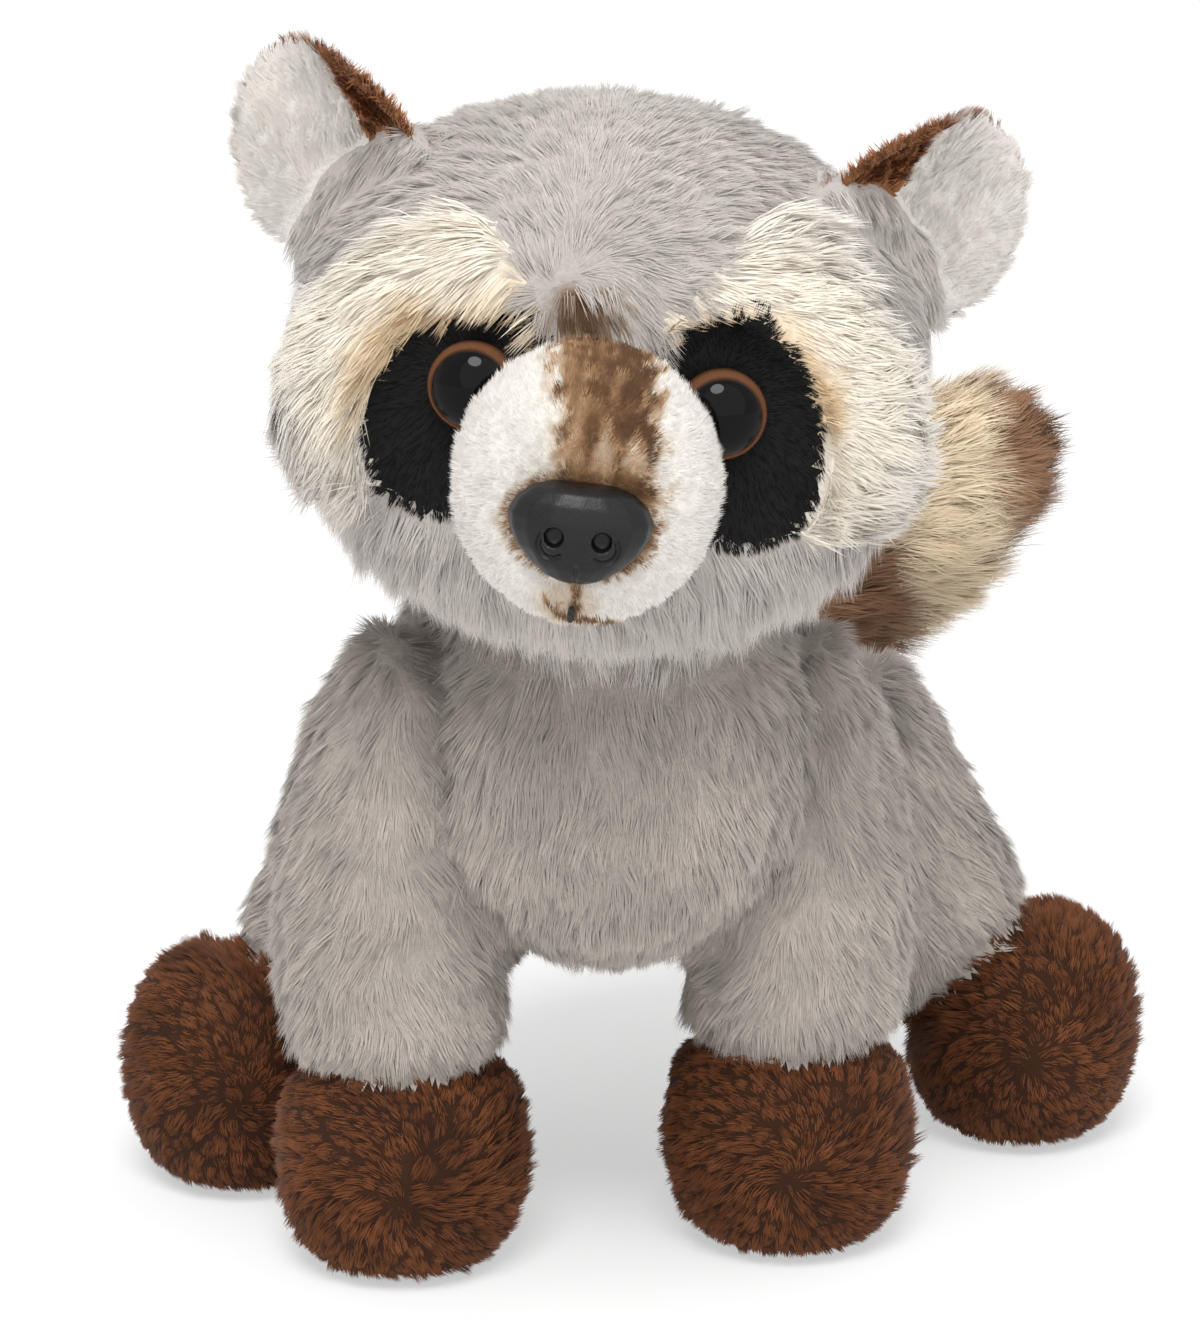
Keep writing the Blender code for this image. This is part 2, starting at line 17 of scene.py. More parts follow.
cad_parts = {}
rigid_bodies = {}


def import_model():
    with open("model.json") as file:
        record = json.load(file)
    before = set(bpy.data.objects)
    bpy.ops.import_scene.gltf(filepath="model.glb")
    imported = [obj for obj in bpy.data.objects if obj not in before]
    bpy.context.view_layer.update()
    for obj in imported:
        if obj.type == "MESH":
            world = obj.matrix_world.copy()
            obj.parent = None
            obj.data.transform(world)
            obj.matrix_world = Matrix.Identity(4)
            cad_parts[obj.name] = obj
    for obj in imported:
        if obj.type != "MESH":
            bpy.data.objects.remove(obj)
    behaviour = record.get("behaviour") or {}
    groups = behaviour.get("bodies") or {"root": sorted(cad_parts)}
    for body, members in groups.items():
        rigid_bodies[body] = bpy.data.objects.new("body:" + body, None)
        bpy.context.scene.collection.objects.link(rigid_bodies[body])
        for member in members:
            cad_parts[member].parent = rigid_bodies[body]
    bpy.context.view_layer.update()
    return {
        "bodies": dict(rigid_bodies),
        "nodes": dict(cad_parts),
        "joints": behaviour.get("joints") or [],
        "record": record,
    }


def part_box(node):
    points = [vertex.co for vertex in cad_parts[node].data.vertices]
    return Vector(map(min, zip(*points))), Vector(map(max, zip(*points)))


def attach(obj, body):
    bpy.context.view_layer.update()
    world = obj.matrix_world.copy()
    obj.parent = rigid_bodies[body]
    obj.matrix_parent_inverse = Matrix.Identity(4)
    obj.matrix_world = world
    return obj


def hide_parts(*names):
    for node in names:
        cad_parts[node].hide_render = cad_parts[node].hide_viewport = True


MM = 0.001
SEED = 20
SIDES = (("left", 1), ("right", -1))
LEGS = [f"{kind}_cover_{label}" for kind in ("foreleg", "hindleg") for label, _ in SIDES]
FEET = [f"{kind}_cover_{label}" for kind in ("forefoot", "hindfoot") for label, _ in SIDES]
PANELS = [f"{kind}_{label}" for kind in ("mask", "brow") for label, _ in SIDES]
DARK_SLOTS = "brown_plush", "black_plush"
PILE_LAYER = "pile"
DOWN = np.array((0.0, 0.0, -1.0))
FLOOR_GAP = 0.3 * MM

# Skins and seams
JOIN_NEAR = 1.2 * MM  # pieces this near are sewn together
JOIN_DEPTH = 3.5 * MM  # how far a skin stands out where it meets its neighbour
SEAM_ROUNDS = 4
BODY_PINCH = 4.2
HEAD_PINCH = 1.0

# How the strands of one pile differ, the angles in radians
PIECE_TRIANGLES = 150000  # the most that the strands of one piece come to
ROOT_DEPTH = 0.3
LOCK_SWAY = 0.15
STRAND_SWAY = 0.10
FIELD_SWAY = 0.30  # how far the comb wanders from place to place
FIELD_SIZE = 9 * MM
LOCK_RISE = 0.10
STRAND_RISE = 0.06
LOCK_LENGTHS = 0.15
STRAND_LENGTHS = 0.18
RIBBON_TURN = 0.30
WIDTHS = 0.7, 1.3
STRAIGHT_BOW = (0.8,)  # how steeply a straight strand rises
BENT_BOW = (1.25, 0.35)  # and the two stretches of a bent one

# Places on the toy, in millimetres where they don't say
ANKLE_AWAY = 20  # from the middle of a foot to its seam
EYE_RADIUS = 6 * MM
NOSTRIL_SIDE = 3.2
NOSTRIL_DROP = 1.0
COMMA_ROUND = 1.75  # how far out of the nostril's middle its comma runs
COMMA_DEPTH = 0.5
SLIT_DEPTH = 0.55
EAR_LEAN = radians(36)
EAR_STRIP = 5.5  # from the middle of an ear to its brown inner rim
EAR_WRAP = 5
EAR_ROOT_DROP = 0.014  # metres from the middle of an ear to its root
BROW_BACK = 5.5  # how far the brows' inner ends are drawn back from the bridge
BROW_RAISED = 4.5
MASK_RAISED = 4.5
BRIDGE_RISE = 26  # above the nose, where the forehead's pile parts
BRIDGE_SIDE = -3
SMUDGE_RISE = 24.5
STRIPE_SIDE = 2.4  # where the stripe on the muzzle starts, and how it slants
STRIPE_RISE = 7
STRIPE_SLANT = 0.13
RIM_ROUND = 6.4  # how far round the nose the airbrushed rim runs
MOUTH_DROP = 12.2
TAIL_TIP_BROWN = 0.0505  # how far out the tail's brown tip starts, in metres
TAIL_ROOT_BROWN = 0.038, 0.080  # how far out and how high its brown root ends, in metres

# Camera and studio
CAMERA_TARGET = (-0.0055, -0.0184, 0.085)
CAMERA_DISTANCE = 0.700
CAMERA_ELEVATION = 15
CAMERA_LENS = 135.5
SENSOR = 36
FLOOR_SIZE = 12
FLOOR_GLOW = 0.5  # how much of the floor that the camera sees is plain white
HORIZON_LIGHT = 0.44
ZENITH_LIGHT = 0.72
LAMPS = (("key", 1.9, 32, -6, 26), ("fill", 0.95, 66, 12, 90))  # strength, tilt, turn and spread


def linear(red, green, blue):
    """8-bit screen values as linear light."""
    share = np.array((red, green, blue)) / 255
    return np.where(share < 0.04045, share / 12.92, ((share + 0.055) / 1.055) ** 2.4)


# Colours of the pile
HEAD_GREY = linear(205, 198, 192)
BODY_GREY = linear(190, 181, 173)
BROWN = linear(98, 58, 34)
EAR_BROWN = linear(170, 116, 76)
EAR_PALE = linear(233, 228, 222)
MASK_BLACK = linear(29, 28, 28)
MUZZLE_WHITE = linear(235, 231, 225)
CREAM = linear(242, 234, 219)
TAN = linear(222, 196, 158)
PALE_CREAM = linear(234, 229, 222)
AIRBRUSH = linear(140, 101, 66)
AIRBRUSH_DARK = linear(90, 63, 42)
TAIL_CREAM = linear(238, 221, 192)
TAIL_BROWN = linear(140, 98, 68)


# Small vector helpers, on arrays of points
def unit(vectors):
    return vectors / np.maximum(np.linalg.norm(vectors, axis=-1, keepdims=True), 1e-12)


def along(vectors, axis):
    return vectors @ np.asarray(axis, float)


def smoothstep(low, high, value):
    share = np.clip((value - low) / (high - low), 0, 1)
    return share * share * (3 - 2 * share)


def blend(start, end, share):
    share = np.asarray(share)[:, None]
    return start * (1 - share) + end * share


def dyed_with(ground, dye, share):
    """A pale ground under a layer of dye, from none of it to a full coat."""
    return ground * (dye / ground) ** np.asarray(share)[:, None]


def mottle(places, size, seed, waves=7):
    """A smooth random field from about -1 to 1, with blotches of that size."""
    rng = np.random.default_rng(seed)
    total = np.zeros(len(places))
    for _ in range(waves):
        direction = unit(rng.normal(size=3))
        pitch = 2 * pi / (size * rng.uniform(1.2, 2.8))
        total += np.sin(places @ direction * pitch + rng.uniform(0, 2 * pi))
    return total / waves * 2


class Skin:
    """The smooth surface under the pile of a group of cloth nodes, and which node each point is over."""

    def __init__(self, frame, nodes, stuffing, voxel, rounds, wrap=None):
        self.nodes = nodes
        self.wrap = wrap or (lambda places: places)
        whole = bmesh.new()
        for node in (*nodes, *stuffing):
            whole.from_mesh(frame["nodes"][node].data)
        mesh = bpy.data.meshes.new("skin")
        whole.to_mesh(mesh)
        whole.free()
        solid = bpy.data.objects.new("skin", mesh)
        bpy.context.scene.collection.objects.link(solid)
        remesh = solid.modifiers.new("Remesh", "REMESH")
        remesh.mode = "VOXEL"
        remesh.voxel_size = voxel
        shown = solid.evaluated_get(bpy.context.evaluated_depsgraph_get())
        bm = bmesh.new()
        bm.from_mesh(shown.to_mesh())
        bpy.data.objects.remove(solid)
        keep_largest(bm)
        bmesh.ops.triangulate(bm, faces=bm.faces)
        bm.verts.index_update()
        self.points = np.array([vert.co for vert in bm.verts])
        self.faces = np.array([[vert.index for vert in face.verts] for face in bm.faces])
        self.edges = np.array([[vert.index for vert in edge.verts] for edge in bm.edges])
        bm.free()
        self.tree, self.tree_owner = tree_of_nodes(frame, nodes)
        self.points = self.smoothed(self.points, rounds)
        self.owner = self.owners(self.points)

    def smoothed(self, values, rounds):
        """Values at the points, each averaged with its neighbours' that many times."""
        values = values.astype(float)
        start, end = np.concatenate([self.edges, self.edges[:, ::-1]]).T
        count = np.bincount(start, minlength=len(values))
        columns = values.reshape(len(values), -1)
        for _ in range(rounds):
            near = [np.bincount(start, column[end], len(values)) / count for column in columns.T]
            columns = columns * 0.5 + np.stack(near, axis=1) * 0.5
        return columns.reshape(values.shape)

    def normals(self):
        corners = self.points[self.faces]
        flat = np.cross(corners[:, 1] - corners[:, 0], corners[:, 2] - corners[:, 0])
        spread = [
            np.bincount(self.faces.ravel(), np.repeat(flat[:, axis], 3), len(self.points))
            for axis in range(3)
        ]
        return unit(np.stack(spread, axis=1))

    def owners(self, places):
        """The index of the node that each place is nearest to."""
        wrapped = self.wrap(places)
        return np.array([self.tree_owner[self.tree.find_nearest(place)[2]] for place in wrapped])

    def sink(self, depths, others, pinch):
        """Lets the surface in under each node by its own depth, and out where it joins a neighbour."""
        depth = np.array([depths[node] for node in self.nodes])[self.owner]
        depth[touching(self.points, self.normals(), others, JOIN_NEAR)] = -JOIN_DEPTH
        depth = self.smoothed(depth, 3)
        start, end = self.edges.T
        sewn = np.zeros(len(self.points))
        sewn[self.edges[self.owner[start] != self.owner[end]].ravel()] = 1
        depth += self.smoothed(sewn, SEAM_ROUNDS) * pinch
        self.points = self.points - self.normals() * depth[:, None]
        self.points = self.smoothed(self.points, 2)

    def patch(self, node):
        """The faces over one node, as points and faces of their own."""
        index = self.nodes.index(node)
        mine = self.faces[np.median(self.owner[self.faces], axis=1) == index]
        used, faces = np.unique(mine, return_inverse=True)
        return self.points[used], faces.reshape(-1, 3)


def keep_largest(bm):
    """Leaves only the largest connected piece of a mesh."""
    waiting, largest = set(bm.verts), set()
    while waiting:
        start = waiting.pop()
        island, front = {start}, [start]
        while front:
            for edge in front.pop().link_edges:
                for vert in edge.verts:
                    if vert in waiting:
                        waiting.discard(vert)
                        island.add(vert)
                        front.append(vert)
        largest = max(largest, island, key=len)
    bmesh.ops.delete(bm, geom=[vert for vert in bm.verts if vert not in largest], context="VERTS")


def tree_of_nodes(frame, nodes):
    points, faces, owner = [], [], []
    for index, node in enumerate(nodes):
        mesh = frame["nodes"][node].data
        first = len(points)
        points += [vert.co for vert in mesh.vertices]
        faces += [tuple(first + corner for corner in face.vertices) for face in mesh.polygons]
        owner += [index] * len(mesh.polygons)
    return BVHTree.FromPolygons(points, faces), owner


class Pile(NamedTuple):
    """The pile of one cloth, in millimetres."""

    length: float
    width: float
    dense: float  # strands on a square millimetre
    lift: float  # 0 lies flat and 1 stands up
    lock: float  # across a lock of strands
    gather: float  # share of the way that tips draw together in a lock
    stray: float
    bent: bool  # one bend halfway, or none
    comb: Callable  # (places, normals) to the way the strands lie
    paint: Callable  # (places) to their colours
    fade: tuple  # painted shade at the root and painted light at the tip, as factors at the root, middle and tip
    grow: Callable = None  # (places, normals) to a factor on the length
    glint: float = 0.14  # how far each strand's own facing shows in its shading
    tone: float = 0.04  # how far one strand's shade is from the next one's
    hang: float = 1.0  # how far the strands give way to their own weight


class Dress(NamedTuple):
    """How one node is dressed."""

    label: str
    slot: str
    depth: float  # millimetres from the node's surface in to the backing
    fill: float  # how tightly it is padded, or 0 for a flat panel; not used
    pile: Pile


class BrowWay(NamedTuple):
    """How one brow lies."""

    droop: float
    shortest: float  # share of the length that is left beside the mask
    hang: float
    low_grey: float  # how grey its lower end is


BROW_WAYS = {"left": BrowWay(0.1, 0.30, 0.2, 0.2), "right": BrowWay(0.9, 0.75, 1, 0.8)}


def place_roots(skin, node, pile, rng):
    """Root places spread evenly over one node's part of the skin, with their normals."""
    index = skin.nodes.index(node)
    owners = skin.owner[skin.faces]
    faces = skin.faces[(owners == index).any(axis=1)]
    corners = skin.points[faces]
    sides = corners[:, 1] - corners[:, 0], corners[:, 2] - corners[:, 0]
    area = np.linalg.norm(np.cross(*sides), axis=1) / 2
    most = PIECE_TRIANGLES // (2 if pile.bent else 1)
    count = min(int(area.sum() / MM**2 * pile.dense), most)
    picked = rng.choice(len(faces), count, p=area / area.sum())
    first, second = rng.random((2, count, 1))
    over = first + second > 1
    first, second = np.where(over, 1 - first, first), np.where(over, 1 - second, second)
    shares = np.stack([1 - first - second, first, second], axis=1)
    places = (corners[picked] * shares).sum(axis=1)
    normals = unit((skin.normals()[faces[picked]] * shares).sum(axis=1))
    mixed = (skin.owner[faces[picked]] != index).any(axis=1)
    mine = ~mixed
    mine[mixed] = skin.owners(places[mixed]) == index
    return places[mine], normals[mine]


def touching(places, normals, others, near):
    """Which places are inside a neighbour or face one that is this near."""
    found = np.zeros(len(places), bool)
    for index, (place, normal) in enumerate(zip(places, normals)):
        spot = Vector(place)
        beside, facing, _, distance = others.find_nearest(spot, near)
        if beside is not None:
            inside = (spot - beside).dot(facing) < 0
            found[index] = inside or Vector(normal).dot(beside - spot) > 0.5 * distance
    return found


def lock_of(places, size, rng):
    """For each root, the index of the root in the middle of its lock."""
    cells = np.unique(np.floor((places - places.min(axis=0)) / (size * MM)).astype(int), axis=0)
    count = max(1, min(len(places), int(len(cells) * 0.8)))
    middles = rng.choice(len(places), count, replace=False)
    tree = KDTree(count)
    for index, middle in enumerate(middles):
        tree.insert(places[middle], index)
    tree.balance()
    return middles[[tree.find(place)[1] for place in places]]


def spine_of(places, normals, middle, pile, rng):
    """The points along each strand, from its root to its tip."""
    count = len(places)
    flow = pile.comb(places, normals)
    flow = unit(flow - normals * (flow * normals).sum(axis=1, keepdims=True))
    sway = rng.normal(0, LOCK_SWAY, count)[middle][:, None] + rng.normal(0, STRAND_SWAY, (count, 1))
    sway += FIELD_SWAY * mottle(places, FIELD_SIZE, 21)[:, None]
    flow = unit(flow * np.cos(sway) + np.cross(normals, flow) * np.sin(sway))
    rise = pile.lift + rng.normal(0, LOCK_RISE, count)[middle] + rng.normal(0, STRAND_RISE, count)
    rise = np.clip(rise, 0.05, 1)[:, None]
    stray = rng.normal(0, pile.stray, (count, 3))
    length = pile.length * MM * (1 + STRAND_LENGTHS * rng.uniform(-1, 1, (count, 1)))
    length *= 1 + LOCK_LENGTHS * rng.uniform(-1, 1, count)[middle][:, None]
    if pile.grow:
        length *= pile.grow(places, normals)[:, None]

    hang = DOWN - normals * np.minimum(along(normals, DOWN), 0)[:, None]
    bows = BENT_BOW if pile.bent else STRAIGHT_BOW
    spine = [places - normals * ROOT_DEPTH * MM]
    for step, bow in enumerate(bows):
        way = normals * rise * bow + flow * (1 - rise * 0.6) + hang * (0.15 + 0.15 * step) * pile.hang
        way = unit(way + stray * (0.6 + 0.5 * step))
        spine.append(spine[-1] + way * length / len(bows))
    for step in range(1, len(spine)):
        pull = pile.gather * (step / len(bows)) ** 1.3
        spine[step] = spine[step] + (spine[step][middle] - spine[step]) * pull
        spine[step][:, 2] = np.maximum(spine[step][:, 2], FLOOR_GAP)
    return spine


def width_of(spine, normals, pile, rng):
    """The half of each strand's width, as a vector across it, and its shading normal."""
    count = len(normals)
    reach = unit(spine[-1] - spine[0])
    across = unit(np.cross(reach, normals))
    facing = np.cross(across, reach)
    turn = rng.normal(0, RIBBON_TURN, (count, 1))
    half = (across * np.cos(turn) + facing * np.sin(turn)) * pile.width * MM / 2
    half *= rng.uniform(*WIDTHS, (count, 1))
    shine = unit(np.cross(unit(half), reach))
    return half, unit(normals + shine * pile.glint)


def colours_of(places, middle, stage, pile, rng):
    """The colours at the points of each strand, with a tone for each lock and each strand, painted shade at
    the root and painted light at the tip.
    """
    count = len(places)
    tone = 1 + pile.tone * (rng.normal(size=(count, 1)) + rng.normal(size=count)[middle][:, None])
    # painted shade: darker toward the root, where the pile would shade itself, and painted light toward the
    # tip
    painted_depth_shades = np.interp(stage, (0, 0.5, 1), pile.fade)
    colours = pile.paint(places)[:, None, :] * (tone * painted_depth_shades)[:, :, None]
    return np.clip(colours, 0, 1).reshape(-1, 3)


def grow(places, normals, pile, rng):
    """The strands as points, faces, colours and shading normals."""
    middle = lock_of(places, pile.lock, rng)
    spine = spine_of(places, normals, middle, pile, rng)
    half, shading = width_of(spine, normals, pile, rng)
    if pile.bent:
        root, knee, tip = spine
        rows = root, knee - half, knee + half, tip
        stage = 0, 0.5, 0.5, 1
        corners = (0, 2, 1), (1, 2, 3)
    else:
        root, tip = spine
        rows = root - half, root + half, tip
        stage = 0, 0, 1
        corners = ((0, 1, 2),)
    points = np.stack(rows, axis=1).reshape(-1, 3)
    first = np.arange(len(places))[:, None, None] * len(rows)
    faces = (first + np.array(corners)).reshape(-1, 3)
    colours = colours_of(places, middle, stage, pile, rng)
    return points, faces, colours, np.repeat(shading, len(rows), axis=0)


def mesh_of(name, points, faces, look):
    """A smooth-shaded mesh object of triangles."""
    mesh = bpy.data.meshes.new(name)
    mesh.vertices.add(len(points))
    mesh.vertices.foreach_set("co", np.asarray(points, np.float32).ravel())
    mesh.loops.add(faces.size)
    mesh.loops.foreach_set("vertex_index", np.asarray(faces, np.int32).ravel())
    mesh.polygons.add(len(faces))
    mesh.polygons.foreach_set("loop_start", np.arange(0, faces.size, 3, dtype=np.int32))
    mesh.update(calc_edges=True)
    mesh.shade_smooth()
    mesh.materials.append(look)
    made = bpy.data.objects.new(name, mesh)
    bpy.context.scene.collection.objects.link(made)
    return made


def coloured(made, colours):
    layer = made.data.color_attributes.new(PILE_LAYER, "FLOAT_COLOR", "POINT")
    values = np.ones((len(colours), 4), np.float32)
    values[:, :3] = colours
    layer.data.foreach_set("color", values.ravel())


# Materials
def new_material(name, roughness, specular=0.5):
    made = bpy.data.materials.new(name)
    made.use_nodes = True
    shader = made.node_tree.nodes["Principled BSDF"]
    shader.inputs["Roughness"].default_value = roughness
    shader.inputs["Specular IOR Level"].default_value = specular
    return made, made.node_tree, shader


def node(tree, kind, **values):
    made = tree.nodes.new(kind)
    for name, value in values.items():
        if name in made.inputs:
            made.inputs[name].default_value = value
        else:
            setattr(made, name, value)
    return made


def link(tree, source, target):
    tree.links.new(source, target)


def noise(tree, size, detail=3.0, rough=0.6):
    """Noise in the toy's own frame, with blotches of about that size."""
    spots = node(tree, "ShaderNodeTexNoise", Scale=1 / size, Detail=detail, Roughness=rough)
    link(tree, node(tree, "ShaderNodeTexCoord").outputs["Object"], spots.inputs["Vector"])
    return spots


def shaded(tree, source, stops):
    """A colour that runs through the stops as the source goes from 0 to 1."""
    made = node(tree, "ShaderNodeValToRGB")
    band = made.color_ramp
    while len(band.elements) < len(stops):
        band.elements.new(0.5)
    for element, (place, colour) in zip(band.elements, stops):
        element.position = place
        element.color = (*colour, 1)
    link(tree, source, made.inputs["Fac"])
    return made.outputs["Color"]


def multiplied(tree, first, second, share=1.0):
    mixed = node(tree, "ShaderNodeMix", data_type="RGBA", blend_type="MULTIPLY")
    mixed.inputs[0].default_value = share
    link(tree, first, mixed.inputs[6])
    link(tree, second, mixed.inputs[7])
    return mixed.outputs[2]


def uneven_gloss(tree, shader, source, low, high):
    gloss = node(tree, "ShaderNodeMapRange")
    gloss.inputs["To Min"].default_value = low
    gloss.inputs["To Max"].default_value = high
    link(tree, source, gloss.inputs["Value"])
    link(tree, gloss.outputs["Result"], shader.inputs["Roughness"])


def uneven_height(tree, shader, source, strength, distance):
    bump = node(tree, "ShaderNodeBump", Strength=strength, Distance=distance)
    link(tree, source, bump.inputs["Height"])
    link(tree, bump.outputs["Normal"], shader.inputs["Normal"])


def give(piece, look):
    """Puts one material on a piece in place of what it had."""
    piece.data.materials.clear()
    piece.data.materials.append(look)


def fur_material(name, roughness=0.66, sheen=0.12, specular=0.2):
    """Strands: each one's own colour, with fine uneven dye and gloss."""
    made, tree, shader = new_material(name, roughness, specular)
    shader.inputs["Sheen Weight"].default_value = sheen
    shader.inputs["Sheen Roughness"].default_value = 0.4
    own = node(tree, "ShaderNodeVertexColor", layer_name=PILE_LAYER)
    spots = noise(tree, 1.6 * MM).outputs["Fac"]
    shade = shaded(tree, spots, [(0.25, (0.94, 0.935, 0.93)), (0.75, (1, 1, 1))])
    link(tree, multiplied(tree, own.outputs["Color"], shade), shader.inputs["Base Color"])
    uneven_gloss(tree, shader, spots, roughness - 0.12, roughness + 0.12)
    return made


def backing_material(name):
    """Knitted backing under the pile: its own colour, shaded in small loops."""
    made, tree, shader = new_material(name, 0.9, 0.2)
    own = node(tree, "ShaderNodeVertexColor", layer_name=PILE_LAYER)
    spots = noise(tree, 0.7 * MM, 2.0).outputs["Fac"]
    shade = shaded(tree, spots, [(0.3, (0.86, 0.855, 0.85)), (0.7, (1, 1, 1))])
    link(tree, multiplied(tree, own.outputs["Color"], shade), shader.inputs["Base Color"])
    uneven_height(tree, shader, spots, 0.6, 0.4 * MM)
    return made


class Face:
    """The head's own axes and landmarks, read from the frame."""

    def __init__(self):
        self.eyes = {label: middle_of("eye_" + label) for label, _ in SIDES}
        self.nose = middle_of("nose")
        self.left = unit(self.eyes["left"] - self.eyes["right"])
        self.back = unit(np.cross((0, 0, 1), self.left))
        self.up = np.cross(self.left, self.back)
        self.head = middle_of("head_cover")

    def seen(self, places):
        """Places as left, back and up of the nose, in millimetres."""
        away = (places - self.nose) / MM
        return along(away, self.left), along(away, self.back), along(away, self.up)


def middle_of(node_name):
    low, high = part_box(node_name)
    return np.array((low + high) / 2)


def head_comb(face):
    def comb(places, normals):
        side, back, up = face.seen(places)
        side = side - BRIDGE_SIDE + 3 * mottle(places, 6 * MM, 15)
        up = up - BRIDGE_RISE + 4 * mottle(places, 6 * MM, 16)
        away = np.stack([side, up], axis=1)
        away /= np.linalg.norm(away, axis=1, keepdims=True) + 6
        radial = away[:, :1] * face.left + away[:, 1:] * face.up
        ahead = 1 - smoothstep(10, 52, back)
        return radial * (ahead * 1.2)[:, None] + face.back * 0.35 + DOWN * (1.0 - ahead * 0.85)[:, None]

    return comb


def body_comb(places, normals):
    outward = places * (4.0, 0, 0)
    return np.array((0, 0.35, -1)) + outward


def leg_comb(node_name):
    """Down the leg, and apart from the line down its front."""
    middle = middle_of(node_name)

    def comb(places, normals):
        apart = (places - middle)[:, :1] / (10 * MM) * (0.7, 0, 0)
        return np.array((0, 0.25, -1)) + apart

    return comb


def ankle_growth(foot_name):
    """Shorter where the leg's pile meets the foot's, so that the seam stays neat."""
    foot = middle_of(foot_name)

    def growth(places, normals):
        away = np.linalg.norm(places - foot, axis=1) / MM
        return 1 - 0.5 * smoothstep(3.5, 0.5, np.abs(away - ANKLE_AWAY))

    return growth


def brow_comb(face, label, side, droop):
    """Outwards, drooping over the mask at its inner edge and lifting at its outer one."""
    eye = face.eyes[label]

    def comb(places, normals):
        away = places - eye
        above = along(away, face.up) / MM
        lift = smoothstep(14, 24, np.linalg.norm(away, axis=1) / MM) * smoothstep(-6, 8, above)
        rise = -droop + (droop + 0.25) * lift
        return face.left * side + face.up * rise[:, None] + unit(away) * 0.25

    return comb


def brow_growth(face, label, shortest):
    """Shorter beside the mask, so that its edge shows."""

    def growth(places, normals):
        from_eye = np.linalg.norm(places - face.eyes[label], axis=1) / MM
        return shortest + (1 - shortest) * smoothstep(12, 24, from_eye)

    return growth


def brow_wrap(face):
    """Draws the brows' inner ends back from the bridge, and raises the left mask's and brow's tops."""

    def wrap(places):
        side, back, up = face.seen(places)
        out = np.abs(side) + np.where(side < 0, 7, 0)
        drawn = BROW_BACK * smoothstep(22, 26, up) * smoothstep(25, 18, out) * smoothstep(6, 10, out)
        raised = MASK_RAISED * smoothstep(35, 31, up) * smoothstep(8, 14, up)
        raised += BROW_RAISED * smoothstep(31, 36, up)
        raised *= smoothstep(12, 16, side) * smoothstep(34, 24, side)
        moved = places - np.outer(np.sign(side) * drawn * MM, face.left)
        return moved - np.outer(raised * MM, face.up)

    return wrap


def rim_wrap(label, side):
    """Lets an ear's back cloth come round its inner rim."""
    front, back = middle_of("ear_front_" + label), middle_of("ear_back_" + label)
    behind = unit(back - front)
    upwards = np.array((sin(EAR_LEAN) * side, 0, cos(EAR_LEAN)))
    inwards = np.array((-cos(EAR_LEAN) * side, 0, sin(EAR_LEAN)))

    def wrap(places):
        away = (places - front) / MM
        strip = smoothstep(-0.5, 0.5, along(away, inwards) - along(away, upwards) * 0.12 - EAR_STRIP)
        outer = smoothstep(3, -4, along(away, inwards)) * smoothstep(-2, 2, along(away, upwards) + 8)
        return places + behind * ((strip * EAR_WRAP - outer * 1.8) * MM)[:, None]

    return wrap


def foot_comb(node_name):
    low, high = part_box(node_name)
    whorl = np.array((low.x + high.x, low.y * 2, low.z * 1.1 + high.z * 0.9)) / 2

    def comb(places, normals):
        away = unit(places - whorl)
        return away + np.cross(normals, away) * 0.55 + np.array((0, 0, -0.15))

    return comb


def away_from(spot):
    """A comb that lays strands away from a spot."""

    def comb(places, normals):
        return unit(places - spot)

    return comb


def stripe_on(side, up, spots):
    """How brown the stripe between the nose and the forehead is, denser on its left."""
    off = side - STRIPE_SIDE + (up - STRIPE_RISE) * STRIPE_SLANT
    stripe = smoothstep(7.6, 4.6, np.abs(off) + spots * 1.6) * smoothstep(3.0, 5.5, up)
    worn = smoothstep(3.4, 0.6, np.abs(up - 9.5)) * smoothstep(-4, 4, off) * 0.55
    thick = 0.80 + 0.30 * smoothstep(-4, 5, off) - 0.34 * spots - worn * smoothstep(-0.3, 0.5, spots)
    thick += 0.3 * smoothstep(11, 5, up) * smoothstep(1, 6, off)
    return stripe * np.clip(thick, 0, 1.2)


def rim_on(side, up, spots):
    """How brown the rim round the nose is."""
    ring = np.hypot(side / 1.42, up - 0.4) - RIM_ROUND
    return smoothstep(0.7, -0.4, ring + spots * 0.3) * 0.85


def mouth_on(side, up):
    """How brown the mouth's line, its stem up to the nose and the faint tint round them are."""
    bend = np.where(side < 0, 0.22, -0.01)
    line = smoothstep(1.0, 0.3, np.abs(up + MOUTH_DROP - bend * side**2)) * smoothstep(1, -1, side - 5.5)
    line *= smoothstep(-4.4, -3.2, side)
    stem = smoothstep(0.9, 0.2, np.abs(side)) * smoothstep(-5.5, -7.0, up) * smoothstep(-12.5, -11.5, up)
    tint = smoothstep(5.0, 1.5, np.hypot(side + 1, up + 10)) * 0.22
    return np.max([line * 0.95, stem * 0.9, tint], axis=0)


def muzzle_paint(face):
    """White, with an airbrushed stripe above the nose, a thin rim round it and the mouth below."""

    def paint(places):
        side, back, up = face.seen(places)
        streaked = places - np.outer(along(places, face.up), face.up) * 0.72
        spots = mottle(streaked, 0.9 * MM, 3) * 0.7 + mottle(places, 3 * MM, 4) * 0.3
        brown = np.max([stripe_on(side, up, spots), rim_on(side, up, spots), mouth_on(side, up)], axis=0)
        shade = blend(AIRBRUSH, AIRBRUSH_DARK, smoothstep(0.6, 1.1, brown))
        return dyed_with(MUZZLE_WHITE, shade, np.clip(brown * 1.05, 0, 0.96))

    return paint


